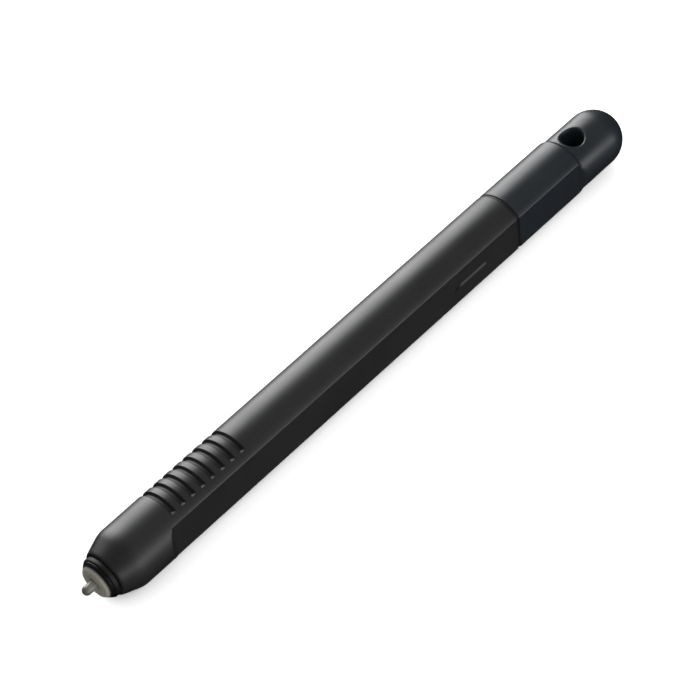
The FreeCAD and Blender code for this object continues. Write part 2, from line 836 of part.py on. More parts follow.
def make_sleeve():
    """Inner sleeve bonded into the barrel, with an O-ring groove and a key for the cap."""
    body = new_body("joint_sleeve")
    half = dim.oring_groove_width / 2
    floor = sleeve_radius - dim.oring_radius * 2 - dim.bond_gap
    revolve(body, [
        (sleeve_front, sleeve_bore_radius),
        (sleeve_front, sleeve_radius),
        (oring_place - half, sleeve_radius),
        (oring_place - half, floor),
        (oring_place + half, floor),
        (oring_place + half, sleeve_radius),
        (sleeve_rear, sleeve_radius),
        (sleeve_rear, sleeve_bore_radius),
    ])
    key = attached_sketch(body, "XY_Plane", "Key")
    low = (cap_front + dim.loose_gap, sleeve_bore_radius + dim.bond_gap)
    high = (cap_front + dim.key_length, dim.bore_radius + dim.key_rise - dim.key_gap)
    add_rectangle(key, low, high)
    pad(body, key, dim.key_width, symmetric=True)
    return body


def make_oring():
    """O-ring that gives the cap its grip on the sleeve."""
    ring = doc.addObject("Part::Torus", "sleeve_o_ring")
    ring.Label = "sleeve_o_ring"
    ring.setExpression("Radius1", (sleeve_radius - dim.oring_radius).text)
    ring.setExpression("Radius2", dim.oring_radius.text)
    ring.Placement = FreeCAD.Placement(FreeCAD.Vector(), FreeCAD.Rotation(FreeCAD.Vector(0, 1, 0), 90))
    place(ring, oring_place - tail_end / 2, dim.body_radius)
    return ring


def make_soft_rings():
    """Rings and washers with a plain section."""
    spigot_gap = nose_bore_radius + dim.bond_gap
    washer = dim.bore_radius - dim.loose_gap
    return [
        tube("nose_ring", ring_front, barrel_front, spigot_gap, dim.nose_ring_radius),
        tube("front_buffer", shoulder, core_front, core_bore_radius, washer),
        tube("rear_buffer", chassis_rear, sleeve_front, dim.rear_buffer_bore, washer),
    ]


def make_coil_parts():
    """Ferrite tube and the winding on it."""
    winding_bore = dim.core_radius + dim.bond_gap
    return [
        tube("ferrite_core", core_front, core_rear, core_bore_radius, dim.core_radius),
        tube("coil_winding", coil_front, coil_rear, winding_bore, coil_radius),
    ]


def make_disc():
    """Ceramic disc in the sensor's counterbore."""
    body = new_body("dielectric_disc")
    edge = counterbore_radius - dim.bond_gap
    revolve(body, [(disc_front, ZERO), (disc_front, edge), (disc_rear, edge), (disc_rear, ZERO)])
    return body


def check_and_export(parts):
    """Stops on any failed feature, then writes each sub-part to its own file."""
    for item in doc.Objects:
        if {"Invalid", "Error"} & set(item.State):
            raise RuntimeError(f"{item.Name} ({item.Label}) failed: {item.State}")
    os.makedirs("parts", exist_ok=True)
    for part in parts:
        if part.Shape.isNull() or not part.Shape.isValid():
            raise RuntimeError(f"{part.Label} has no valid shape")
        part.Shape.exportStep(f"parts/{part.Label}.step")
        print(f"{part.Label}: {len(part.Shape.Solids)} solid(s), {part.Shape.Volume:.2f} mm3")


coil_leads = make_wire_pair("coil_leads", coil_rear, board_front + dim.lead_landing, lead_offset,
                            lead_offset, dim.lead_bend, dim.lead_radius)
sensor_legs = make_wire_pair("sensor_legs", terminal_rear, board_front + dim.leg_landing, dim.leg_level,
                             dim.leg_spread, dim.leg_bend, dim.leg_radius)
parts = [
    make_barrel(),
    make_insert(),
    make_nib(),
    make_seam_ring(),
    make_cap(),
    make_index_bar(),
    *make_soft_rings(),
    *make_coil_parts(),
    coil_leads,
    make_chassis(),
    make_sensor_holder(),
    make_nib_holder(),
    make_pad(),
    make_spring(),
    make_disc(),
    make_terminal(),
    sensor_legs,
    make_board(),
    make_chips(),
    make_trimmer(),
    make_control_chip(),
    make_solder_joints(),
    make_sleeve(),
    make_oring(),
]
doc.recompute()
check_and_export(parts)
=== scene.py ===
import json
import math

import bmesh
import bpy
from mathutils import Matrix, Vector


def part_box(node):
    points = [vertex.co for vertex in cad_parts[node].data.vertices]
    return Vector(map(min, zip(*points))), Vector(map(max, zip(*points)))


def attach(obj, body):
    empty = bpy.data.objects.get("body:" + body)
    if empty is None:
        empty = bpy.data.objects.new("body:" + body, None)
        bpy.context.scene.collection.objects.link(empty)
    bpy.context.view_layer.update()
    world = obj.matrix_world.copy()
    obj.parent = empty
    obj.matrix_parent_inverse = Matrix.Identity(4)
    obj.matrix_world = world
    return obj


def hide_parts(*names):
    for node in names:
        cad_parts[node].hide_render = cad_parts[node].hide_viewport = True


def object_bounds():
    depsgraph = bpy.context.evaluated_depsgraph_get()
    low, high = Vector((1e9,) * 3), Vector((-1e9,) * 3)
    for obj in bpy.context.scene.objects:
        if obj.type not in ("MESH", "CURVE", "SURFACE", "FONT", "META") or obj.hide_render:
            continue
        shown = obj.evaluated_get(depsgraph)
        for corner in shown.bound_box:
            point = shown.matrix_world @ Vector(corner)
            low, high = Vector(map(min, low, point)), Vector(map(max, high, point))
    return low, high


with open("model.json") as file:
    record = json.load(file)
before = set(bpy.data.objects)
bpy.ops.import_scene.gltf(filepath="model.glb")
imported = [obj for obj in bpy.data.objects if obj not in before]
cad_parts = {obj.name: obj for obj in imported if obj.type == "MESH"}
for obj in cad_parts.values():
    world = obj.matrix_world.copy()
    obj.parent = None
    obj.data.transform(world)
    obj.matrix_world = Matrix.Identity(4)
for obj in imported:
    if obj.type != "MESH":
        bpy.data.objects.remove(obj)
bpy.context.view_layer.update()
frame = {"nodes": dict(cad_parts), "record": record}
print("frame loaded")

mm = 0.001
barrelLow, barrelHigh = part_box("main_barrel")
capLow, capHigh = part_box("rear_cap")
bodyRadius = (barrelHigh.z - barrelLow.z) / 2
axisHeight = barrelLow.z + bodyRadius
mounts = {mount["name"]: mount for mount in frame["record"]["mounts"]}
flatDistance = -mounts["long_flat"]["pos_m"][1]
tetherHole = mounts["tether_hole"]
weldDistance = 0.0005 * mm
creaseAngle = math.radians(35)


def evenly(low, high, count):
    return [low + (high - low) * i / count for i in range(count)]


def anglesAround(stretches):
    # from the flat's middle round to the back, and the same on the other side
    side = [math.radians(angle) for stretch in stretches for angle in evenly(*stretch)]
    return side + [math.pi] + [-angle for angle in reversed(side[1:])]


def aroundAxis(x, radius, angle):
    # angle 0 points out of the flat, towards -Y, and a quarter turn points up
    return Vector((x, -radius * math.cos(angle), axisHeight + radius * math.sin(angle)))


def softMin(a, b, width):
    # the smaller of two, with a soft turn where they are closer than width
    if abs(b - a) >= width:
        return min(a, b)
    share = 0.5 + 0.5 * (b - a) / width
    return b + (a - b) * share - width * share * (1 - share)


def edgeRows(face, rounding, inward, steps=5):
    # (place, inset) pairs that round an edge, from the face inwards along the axis
    return [(face + inward * rounding * (1 - math.cos(a)), rounding * (1 - math.sin(a)))
            for a in evenly(0, math.pi / 2, steps)]


def bridge(bm, rings, closed=False):
    loops = [[bm.verts.new(point) for point in ring] for ring in rings]
    if closed:
        loops.append(loops[0])
    for low, high in zip(loops, loops[1:]):
        for i in range(len(low)):
            j = (i + 1) % len(low)
            bm.faces.new((low[i], low[j], high[j], high[i]))


def newPiece(name, bm):
    bmesh.ops.remove_doubles(bm, verts=bm.verts, dist=weldDistance)
    bmesh.ops.recalc_face_normals(bm, faces=bm.faces)
    mesh = bpy.data.meshes.new(name)
    bm.to_mesh(mesh)
    bm.free()
    mesh.shade_smooth()
    mesh.set_sharp_from_angle(angle=creaseAngle)
    piece = bpy.data.objects.new(name, mesh)
    bpy.context.scene.collection.objects.link(piece)
    return piece


def roundedProfile(corners, steps=5):
    # corners are (x, radius, rounding); the outline closes on itself
    points = []
    for i, (x, r, rounding) in enumerate(corners):
        corner = Vector((x, r))
        if not rounding:
            points.append(corner)
            continue
        before = (Vector(corners[i - 1][:2]) - corner).normalized()
        after = (Vector(corners[(i + 1) % len(corners)][:2]) - corner).normalized()
        half = before.angle(after) / 2
        centre = corner + (before + after).normalized() * rounding / math.sin(half)
        start = corner + before * rounding / math.tan(half) - centre
        end = corner + after * rounding / math.tan(half) - centre
        for step in range(steps + 1):
            points.append(centre + start.slerp(end, step / steps).normalized() * rounding)
    return points


def turnedPiece(name, corners, segments=96):
    angles = evenly(0, 2 * math.pi, segments)
    bm = bmesh.new()
    rings = [[aroundAxis(p.x, p.y, a) for a in angles] for p in roundedProfile(corners)]
    bridge(bm, rings, closed=corners[0][1] > 0)  # an outline that starts on the axis ends on it too
    return newPiece(name, bm)


def blockPiece(name, low, high):
    bm = bmesh.new()
    place = Matrix.Translation((low + high) / 2) @ Matrix.Diagonal((*(high - low), 1))
    bmesh.ops.create_cube(bm, size=1, matrix=place)
    return newPiece(name, bm)


def meshFromModifiers(piece):
    evaluated = piece.evaluated_get(bpy.context.evaluated_depsgraph_get())
    mesh = bpy.data.meshes.new_from_object(evaluated)
    mesh.name = piece.name
    piece.modifiers.clear()
    piece.data = mesh


def cutOut(piece, cutter):
    cut = piece.modifiers.new("cut", "BOOLEAN")
    cut.object = cutter
    cut.solver = "EXACT"
    meshFromModifiers(piece)
    bpy.data.objects.remove(cutter)
    piece.data.set_sharp_from_angle(angle=creaseAngle)


def finishPiece(piece, body, node, slot):
    if not piece.data.materials:
        piece.data.materials.append(materials[slot])
    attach(piece, body)
    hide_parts(node)


def addNode(tree, kind, settings=None, inputs=None):
    node = tree.nodes.new(kind)
    for name, value in (settings or {}).items():
        setattr(node, name, value)
    for name, value in (inputs or {}).items():
        if isinstance(value, bpy.types.Node):
            value = value.outputs[0]
        if isinstance(value, bpy.types.NodeSocket):
            tree.links.new(value, node.inputs[name])
        else:
            node.inputs[name].default_value = value
    return node


def newNodeTree(name, sizes):
    tree = bpy.data.node_groups.new(name, "GeometryNodeTree")
    tree.interface.new_socket("Geometry", in_out="INPUT", socket_type="NodeSocketGeometry")
    for size, value in sizes.items():
        kind = "NodeSocketInt" if isinstance(value, int) else "NodeSocketFloat"
        tree.interface.new_socket(size, in_out="INPUT", socket_type=kind)
    tree.interface.new_socket("Material", in_out="INPUT", socket_type="NodeSocketMaterial")
    tree.interface.new_socket("Geometry", in_out="OUTPUT", socket_type="NodeSocketGeometry")
    return tree


def endTree(tree, geometry, material):
    real = addNode(tree, "GeometryNodeRealizeInstances", inputs={"Geometry": geometry})
    painted = addNode(tree, "GeometryNodeSetMaterial", inputs={"Geometry": real, "Material": material})
    addNode(tree, "NodeGroupOutput", inputs={"Geometry": painted})


def runTree(piece, tree, values):
    modifier = piece.modifiers.new(tree.name, "NODES")
    modifier.node_group = tree
    for socket in tree.interface.items_tree:
        if socket.in_out == "INPUT" and socket.name in values:
            modifier[socket.identifier] = values[socket.name]
    meshFromModifiers(piece)


def linearColor(hexText):
    parts = [int(hexText[i:i + 2], 16) / 255 for i in (1, 3, 5)]
    return [p / 12.92 if p <= 0.04045 else ((p + 0.055) / 1.055) ** 2.4 for p in parts] + [1]


def mixColour(tree, share, low, high):
    # 6 and 7 are the Mix node's colour inputs, and 2 is its colour output
    return addNode(tree, "ShaderNodeMix", {"data_type": "RGBA"}, {0: share, 6: low, 7: high}).outputs[2]


def bandScale(pitch):
    return math.pi / 10 / pitch  # a wave texture's bands lie pi / 10 / scale apart


def surfaceMaterial(look, addDetail=None):
    # fine grain in the relief, soft patches in colour and sheen, and what addDetail puts on top
    material = bpy.data.materials.new(look["name"])
    material.use_nodes = True
    tree = material.node_tree
    tree.nodes.clear()
    place = addNode(tree, "ShaderNodeTexCoord").outputs["Object"]
    grain = addNode(tree, "ShaderNodeTexNoise", inputs={
        "Vector": place, "Scale": 1 / look["grain"], "Detail": 3.0, "Roughness": 0.6})
    patches = addNode(tree, "ShaderNodeTexNoise", inputs={
        "Vector": place, "Scale": 1 / look["patch"], "Detail": 2.0}).outputs["Fac"]
    height = grain.outputs["Fac"]
    if "lines" in look:  # tool marks that run round the axis, this far apart
        marks = addNode(tree, "ShaderNodeTexWave", {"bands_direction": "X"}, {
            "Vector": place, "Scale": bandScale(look["lines"]), "Distortion": 0.6}).outputs["Fac"]
        height = addNode(tree, "ShaderNodeMath", {"operation": "ADD"}, {0: height, 1: marks})
    bump = addNode(tree, "ShaderNodeBump", inputs={
        "Height": height, "Strength": look["relief"], "Distance": look["grain"] / 2})
    middle, variation = look["roughness"], look["variation"]
    rough = addNode(tree, "ShaderNodeMapRange", inputs={  # the noise lies nearly all between 0.3 and 0.7
        "Value": patches, "From Min": 0.3, "From Max": 0.7,
        "To Min": middle - variation, "To Max": middle + variation})
    colour = mixColour(tree, patches, linearColor(look["dark"]), linearColor(look["light"]))
    finish = {"Base Color": colour, "Roughness": rough, "Normal": bump, **look.get("shader", {})}
    if addDetail:
        addDetail(tree, place, look, finish)
    shader = addNode(tree, "ShaderNodeBsdfPrincipled", inputs=finish)
    addNode(tree, "ShaderNodeOutputMaterial", inputs={"Surface": shader})
    return material


# ABS, moulded in a spark-eroded tool: black-grey and satin, with an even grain, drawn coarser than
# the real one so that it shows. The grip's grooves are darker with their depth, part dirt they hold and
# part painted shade of the hollow, and stay dull
barrelLook = {
    "name": "sparkErodedAbs", "dark": "#151516", "light": "#19191a", "grain": 0.14 * mm,
    "patch": 9 * mm, "roughness": 0.44, "variation": 0.03, "relief": 0.12,
    "grooveColour": "#0c0c0b", "grooveRoughness": 0.62, "shader": {"IOR": 1.5},
}
# the same ABS in a slightly bluer batch, a little smoother
capLook = dict(barrelLook, name="blueBlackAbs", dark="#12161a", light="#161a1e", roughness=0.41)
# silicone rubber, moulded: deep black, matt, a bloom of dust in soft patches
rubberLook = {
    "name": "mouldedSiliconeRubber", "dark": "#080808", "light": "#0e0e0d", "grain": 0.2 * mm,
    "patch": 3 * mm, "roughness": 0.6, "variation": 0.05, "relief": 0.15, "shader": {"IOR": 1.41},
}


def grooveDetail(tree, place, look, finish):
    # the deeper a groove, the darker and duller: part dirt held in it, part painted shade of the hollow
    depth = addNode(tree, "ShaderNodeAttribute", {"attribute_name": "grooveDepth"}).outputs["Fac"]
    dirtAndShade = linearColor(look["grooveColour"])
    finish["Base Color"] = mixColour(tree, depth, finish["Base Color"], dirtAndShade)
    finish["Roughness"] = addNode(tree, "ShaderNodeMapRange", inputs={
        "Value": depth, "To Min": finish["Roughness"], "To Max": look["grooveRoughness"]})


materials = {
    "barrel_plastic": surfaceMaterial(barrelLook, grooveDetail),
    "cap_plastic": surfaceMaterial(capLook),
    "ring_rubber": surfaceMaterial(rubberLook),
}
print("outer plastics made")

barrelSizes = {
    "noseRadius": 3.95 * mm,  # at the front of the cone
    "coneLength": 3.6 * mm,
    "coneBlend": 0.35 * mm,  # softens the edge between cone and barrel
    "frontRounding": 0.3 * mm,
    "rearRounding": 0.1 * mm,
    "flatStart": 11.0 * mm,  # behind the front face, where the flat reaches its depth
    "flatRamp": 1.5 * mm,
    "flatEdge": 0.12 * mm,  # softens the flat's two long edges
    "boreRadius": 3.2 * mm,
    "noseBoreRadius": 2.75 * mm,
    "noseBoreLength": 5.2 * mm,
    "recessPlay": 0.02 * mm,  # round the inlaid bar
    "dotRadius": 0.5 * mm,
    "dotDepth": 0.2 * mm,
    "dotGap": 1.1 * mm,  # from the bar to the middle of the dot
    "closeBefore": 0.3 * mm,  # how far the close rows reach ahead of the flat's ramp,
    "closeBehind": 0.2 * mm,  # behind it,
    "closeAtCone": 1 * mm,  # and to each side of the cone's end
}
gripSizes = {
    "First": barrelLow.x + barrelSizes["flatStart"] + 1.75 * mm,  # the middle of the first groove
    "Pitch": 2.12 * mm,
    "Grooves": 8,
    "Floor": 0.42 * mm,  # width of a groove's floor
    "Flank": 0.38 * mm,  # width of each rounded side
    "Depth": 0.45 * mm,
    "Gap": math.radians(56),  # from the middle of the flat to a groove's end
    "Fade": math.radians(6.5),  # over which a groove runs out
    "Skin": barrelSizes["boreRadius"] + 0.3 * mm,  # only what lies outside this is pressed
    "Axis": axisHeight,
}
# (from, to, steps) in degrees: close together at the flat's edge and at the grooves' ends
flatAngles = [(0, 34, 8), (34, 47, 18)]
outerAngles = flatAngles + [(47, 55, 3), (55, 64, 10), (64, 180, 40)]


def flatCut(radius, depth, angle, edge):
    # keeps a radius inside the plane that lies depth away from the axis
    across = math.cos(angle)
    return softMin(radius, depth / across, edge) if across > 0 else radius


def barrelRadius(x, angle, inset=0.0):
    sizes = barrelSizes
    along = x - barrelLow.x
    slope = (bodyRadius - sizes["noseRadius"]) / sizes["coneLength"]
    radius = softMin(sizes["noseRadius"] + slope * along, bodyRadius, sizes["coneBlend"])
    ramp = max(sizes["flatStart"] - along, 0) / sizes["flatRamp"]
    depth = flatDistance + ramp * (bodyRadius - flatDistance)
    return flatCut(radius - inset, depth - inset, angle, sizes["flatEdge"])


def gripTree():
    # presses evenly spaced grooves into the round side and notes their depth for the material
    tree = newNodeTree("gripGrooves", gripSizes)
    given = addNode(tree, "NodeGroupInput").outputs
    place = addNode(tree, "GeometryNodeInputPosition")
    parts = addNode(tree, "ShaderNodeSeparateXYZ", inputs={"Vector": place}).outputs

    # off is the distance along to the nearest groove's middle, section the depth that gives
    along = addNode(tree, "ShaderNodeMath", {"operation": "SUBTRACT"}, {
        0: parts["X"], 1: given["First"]})
    turns = addNode(tree, "ShaderNodeMath", {"operation": "DIVIDE"}, {0: along, 1: given["Pitch"]})
    whole = addNode(tree, "ShaderNodeMath", {"operation": "ROUND"}, {0: turns})
    last = addNode(tree, "ShaderNodeMath", {"operation": "SUBTRACT"}, {0: given["Grooves"], 1: 1.0})
    nearest = addNode(tree, "ShaderNodeClamp", inputs={"Value": whole, "Min": 0.0, "Max": last})
    beside = addNode(tree, "ShaderNodeMath", {"operation": "SUBTRACT"}, {0: turns, 1: nearest})
    signed = addNode(tree, "ShaderNodeMath", {"operation": "MULTIPLY"}, {0: beside, 1: given["Pitch"]})
    off = addNode(tree, "ShaderNodeMath", {"operation": "ABSOLUTE"}, {0: signed})
    half = addNode(tree, "ShaderNodeMath", {"operation": "MULTIPLY"}, {0: given["Floor"], 1: 0.5})
    edge = addNode(tree, "ShaderNodeMath", {"operation": "ADD"}, {0: half, 1: given["Flank"]})
    section = addNode(tree, "ShaderNodeMapRange", {"interpolation_type": "SMOOTHSTEP"}, {
        "Value": off, "From Min": half, "From Max": edge, "To Min": 1.0, "To Max": 0.0})

    # angle is how far round from the flat's middle, and ends runs a groove out beside the flat
    height = addNode(tree, "ShaderNodeMath", {"operation": "SUBTRACT"}, {
        0: parts["Z"], 1: given["Axis"]})
    front = addNode(tree, "ShaderNodeMath", {"operation": "MULTIPLY"}, {0: parts["Y"], 1: -1.0})
    turn = addNode(tree, "ShaderNodeMath", {"operation": "ARCTAN2"}, {0: height, 1: front})
    angle = addNode(tree, "ShaderNodeMath", {"operation": "ABSOLUTE"}, {0: turn})
    full = addNode(tree, "ShaderNodeMath", {"operation": "ADD"}, {0: given["Gap"], 1: given["Fade"]})
    ends = addNode(tree, "ShaderNodeMapRange", {"interpolation_type": "SMOOTHSTEP"}, {
        "Value": angle, "From Min": given["Gap"], "From Max": full})

    # skin keeps the bore as it is
    outward = addNode(tree, "ShaderNodeCombineXYZ", inputs={"Y": parts["Y"], "Z": height})
    radius = addNode(tree, "ShaderNodeVectorMath", {"operation": "LENGTH"}, {0: outward})
    skin = addNode(tree, "ShaderNodeMath", {"operation": "GREATER_THAN"}, {
        0: radius.outputs["Value"], 1: given["Skin"]})
    pressed = addNode(tree, "ShaderNodeMath", {"operation": "MULTIPLY"}, {0: section, 1: ends})
    share = addNode(tree, "ShaderNodeMath", {"operation": "MULTIPLY"}, {0: pressed, 1: skin})
    noted = addNode(tree, "GeometryNodeStoreNamedAttribute", inputs={
        "Geometry": given["Geometry"], "Name": "grooveDepth", "Value": share})

    depth = addNode(tree, "ShaderNodeMath", {"operation": "MULTIPLY"}, {0: share, 1: given["Depth"]})
    inward = addNode(tree, "ShaderNodeMath", {"operation": "MULTIPLY"}, {0: depth, 1: -1.0})
    unit = addNode(tree, "ShaderNodeVectorMath", {"operation": "NORMALIZE"}, {0: outward})
    offset = addNode(tree, "ShaderNodeVectorMath", {"operation": "SCALE"}, {0: unit, "Scale": inward})
    shaped = addNode(tree, "GeometryNodeSetPosition", inputs={"Geometry": noted, "Offset": offset})
    endTree(tree, shaped, given["Material"])
    return tree


def barrelRows():
    # places along the barrel, and how far each lies inside the outline
    sizes = barrelSizes
    front, rear = barrelLow.x, barrelHigh.x
    coneEnd, close = front + sizes["coneLength"], sizes["closeAtCone"]
    rampFront = front + sizes["flatStart"] - sizes["flatRamp"] - sizes["closeBefore"]
    rampRear = front + sizes["flatStart"] + sizes["closeBehind"]
    gripFront = gripSizes["First"] - gripSizes["Pitch"] / 2
    gripRear = gripSizes["First"] + gripSizes["Pitch"] * (gripSizes["Grooves"] - 0.5)
    stretches = [  # (from, to, steps): close together where the shape turns
        (front + sizes["frontRounding"], coneEnd - close, 5),
        (coneEnd - close, coneEnd + close, 16),
        (coneEnd + close, rampFront, 6),
        (rampFront, rampRear, 24),
        (rampRear, gripFront, 3),
        (gripFront, gripRear, 200),
        (gripRear, rear - sizes["rearRounding"], 26),
    ]
    rows = edgeRows(front, sizes["frontRounding"], 1)
    rows += [(x, 0) for stretch in stretches for x in evenly(*stretch)]
    return rows + [(rear - sizes["rearRounding"], 0)] + edgeRows(rear, sizes["rearRounding"], -1)[::-1]


def cutMark(barrel):
    # a recess for the inlaid bar, and a shallow round dot ahead of it
    sizes = barrelSizes
    barLow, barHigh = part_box("index_bar")
    play = Vector((1, 0, 1)) * sizes["recessPlay"]
    outside = Vector((0, bodyRadius, 0))
    cutOut(barrel, blockPiece("barRecess", barLow - play - outside, barHigh + play))
    bm = bmesh.new()
    drill = Matrix.Translation((barLow.x - sizes["dotGap"], -flatDistance, axisHeight))
    bmesh.ops.create_cone(
        bm, cap_ends=True, segments=48, radius1=sizes["dotRadius"], radius2=sizes["dotRadius"],
        depth=2 * sizes["dotDepth"], matrix=drill @ Matrix.Rotation(math.pi / 2, 4, "X"))
    cutOut(barrel, newPiece("dotDrill", bm))


def makeBarrel():
    sizes = barrelSizes
    front, rear = barrelLow.x, barrelHigh.x
    shoulder = front + sizes["noseBoreLength"]
    angles = anglesAround(outerAngles)
    rings = [[aroundAxis(x, barrelRadius(x, a, inset), a) for a in angles] for x, inset in barrelRows()]
    inside = [(rear, sizes["boreRadius"]), (shoulder, sizes["boreRadius"]),
              (shoulder, sizes["noseBoreRadius"]), (front, sizes["noseBoreRadius"])]
    rings += [[aroundAxis(x, r, a) for a in angles] for x, r in inside]
    bm = bmesh.new()
    bridge(bm, rings, closed=True)
    barrel = newPiece("mouldedBarrel", bm)
    runTree(barrel, gripTree(), {**gripSizes, "Material": materials["barrel_plastic"]})
    cutMark(barrel)
    finishPiece(barrel, "barrel", "main_barrel", "barrel_plastic")


makeBarrel()
print("barrel made")

seamSizes = {"inset": 0.15 * mm, "rounding": 0.1 * mm, "boreRadius": 3.16 * mm}


def makeSeamRing():
    low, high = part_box("seam_ring")
    sizes = seamSizes
    angles = anglesAround(outerAngles)
    rows = edgeRows(low.x, sizes["rounding"], 1) + edgeRows(high.x, sizes["rounding"], -1)[::-1]
    rings = [[aroundAxis(x, barrelRadius(barrelHigh.x, a, inset + sizes["inset"]), a) for a in angles]
             for x, inset in rows]
    rings += [[aroundAxis(x, sizes["boreRadius"], a) for a in angles] for x in (high.x, low.x)]
    bm = bmesh.new()
    bridge(bm, rings, closed=True)
    finishPiece(newPiece("seamRing", bm), "barrel", "seam_ring", "ring_rubber")


capSizes = {
    "flatLength": 14.9 * mm,
    "bevelLength": 0.5 * mm,  # from the full body down to the end's radius
    "endRadius": 4.95 * mm,
    "bevelBlend": 0.1 * mm,
    "frontRounding": 0.1 * mm,
    "boreRadius": 3.2 * mm,
    "boreLength": 12.5 * mm,
    "keywayReach": 3.65 * mm,  # from the axis to the keyway's floor
    "keywayWidth": 1.3 * mm,
    "keywayLength": 8.1 * mm,
    "keywayFlank": 0.1,  # degrees round the axis that the keyway's side wall takes up
    "holeRounding": 0.5 * mm,
    "windowFront": 2.6 * mm,  # what is meshed round the hole: ahead of its middle,
    "windowRear": 3.1 * mm,  # behind it,
    "windowSide": 40,  # and to each side, in degrees round the axis
    "windowSteps": 20,
    "windowRows": 18,
    "apronRows": 5,  # from the window's border to the rim,
    "rimRows": 7,  # and over its rounding
    "domeRows": 24,
}


def capRadius(x, angle, inset=0.0):
    sizes = capSizes
    along = x - capLow.x - sizes["flatLength"]
    bevel = bodyRadius - (bodyRadius - sizes["endRadius"]) * max(along, 0) / sizes["bevelLength"]
    radius = -softMin(-bevel, -sizes["endRadius"], sizes["bevelBlend"])
    radius = softMin(radius, bodyRadius, sizes["bevelBlend"]) if along < sizes["bevelLength"] else radius
    depth = flatDistance + (bodyRadius - flatDistance) * max(along, 0) / barrelSizes["flatRamp"]
    return flatCut(radius - inset, depth - inset, angle, barrelSizes["flatEdge"])


def keywayPoint(x, angle):
    # on the bore's wall, or on the keyway's floor where the key runs
    point, half = aroundAxis(x, capSizes["boreRadius"], angle), capSizes["keywayWidth"] / 2
    if point.y > 0 and abs(point.z - axisHeight) < half:
        rise = capSizes["keywayReach"] * (point.z - axisHeight) / point.y
        point = Vector((x, capSizes["keywayReach"], axisHeight + max(-half, min(half, rise))))
    return point


def windowColumns():
    side, steps = capSizes["windowSide"], capSizes["windowSteps"]
    return [math.radians(a) for a in evenly(90 - side, 90 + side, steps)] + [math.radians(90 + side)]


def openWindows(bm, windowX):
    # takes out the faces where the hole's own rings go, above and below
    side = math.radians(capSizes["windowSide"])
    skin = (capSizes["boreRadius"] + capSizes["endRadius"]) / 2
    for face in list(bm.faces):
        middle = face.calc_center_median()
        out = abs(middle.z - axisHeight)
        if (windowX[0] < middle.x < windowX[-1] and math.hypot(out, middle.y) > skin
                and abs(math.atan2(middle.y, out)) < side):
            bm.faces.remove(face)
    loose = [edge for edge in bm.edges if not edge.link_faces]
    bmesh.ops.delete(bm, geom=loose, context="EDGES")
    bmesh.ops.delete(bm, geom=[v for v in bm.verts if not v.link_edges], context="VERTS")


def holeRings(windowX, holeX, holeRadius):
    # from the upper window's border, over the rounded rim, down through the cap, and out below
    rounding, endRadius = capSizes["holeRounding"], capSizes["endRadius"]
    columns = windowColumns()
    border = [(x, columns[0]) for x in windowX[:-1]] + [(windowX[-1], a) for a in columns[:-1]]
    border += [(x, columns[-1]) for x in windowX[:0:-1]] + [(windowX[0], a) for a in columns[:0:-1]]
    turns = [math.atan2(-endRadius * math.cos(a), x - holeX) for x, a in border]
    rings = []
    for share in evenly(0, 1, capSizes["apronRows"]):
        ring = []
        for (x, angle), turn in zip(border, turns):
            rimX = holeX + (holeRadius + rounding) * math.cos(turn)
            rimAngle = math.acos(-(holeRadius + rounding) * math.sin(turn) / endRadius)
            nowX, nowAngle = x + (rimX - x) * share, angle + (rimAngle - angle) * share
            ring.append(aroundAxis(nowX, capRadius(nowX, nowAngle), nowAngle))
        rings.append(ring)
    for tilt in evenly(0, math.pi / 2, capSizes["rimRows"]) + [math.pi / 2]:
        reach = holeRadius + rounding * (1 - math.sin(tilt))
        drop = rounding * (1 - math.cos(tilt))
        ring = []
        for turn in turns:
            across = reach * math.sin(turn)
            height = axisHeight - drop + math.sqrt(endRadius ** 2 - across ** 2)
            ring.append(Vector((holeX + reach * math.cos(turn), across, height)))
        rings.append(ring)
    below = [[Vector((p.x, p.y, 2 * axisHeight - p.z)) for p in ring] for ring in reversed(rings)]
    return rings + below


def capRows(windowX, domeCentre):
    # places along the cap up to its dome, and how far each lies inside the outline
    rounding = capSizes["frontRounding"]
    flatEnd = capLow.x + capSizes["flatLength"] - barrelSizes["closeBefore"]
    stretches = [(capLow.x + rounding, flatEnd, 6), (flatEnd, windowX[0], 12)]  # (from, to, steps)
    lengths = [x for stretch in stretches for x in evenly(*stretch)]
    lengths += windowX + evenly(windowX[-1], domeCentre, 5)[1:]
    return edgeRows(capLow.x, rounding, 1) + [(x, 0) for x in lengths]


def capAngles():
    # even across the windows, so that the holes' rings can start on them, and close at the keyway
    side, steps = capSizes["windowSide"], capSizes["windowSteps"]
    keyEdge = 180 - math.degrees(math.asin(capSizes["keywayWidth"] / 2 / capSizes["boreRadius"]))
    keyFloor = keyEdge + capSizes["keywayFlank"]
    return anglesAround(flatAngles + [
        (flatAngles[-1][1], 90 - side, 1), (90 - side, 90 + side, steps), (90 + side, keyEdge, 9),
        (keyEdge, keyFloor, 1), (keyFloor, 180, 3)])


